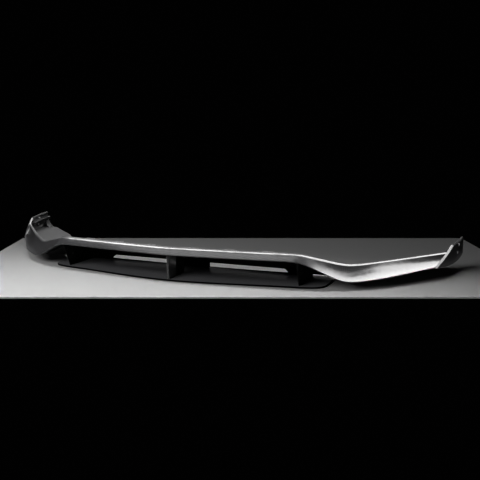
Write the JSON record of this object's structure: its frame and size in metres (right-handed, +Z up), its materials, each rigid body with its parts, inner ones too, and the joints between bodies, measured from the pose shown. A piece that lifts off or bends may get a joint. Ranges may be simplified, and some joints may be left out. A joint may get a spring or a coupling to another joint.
{
  "type": "front bumper overlay",
  "caption": "Carbon-fibre front lip with a raised ribbon, swept wings, upright end fins and a splitter blade with an air duct between.",
  "frame": {"origin": "on the flat underside of the blade, on the centre plane, just behind its leading edge", "axes": "+X across the car, +Y from the nose to the rear, +Z up"},
  "size_m": [1.932, 0.6208, 0.13],
  "materials": {
    "carbon": "gloss",
    "metal": "satin"
  },
  "bodies": {
    "root": {"upper_skin": "carbon", "lower_blade": "carbon", "duct_panel": "carbon", "centre_strut": "carbon", "fin_inserts": "metal"}
  },
  "joints": []
}
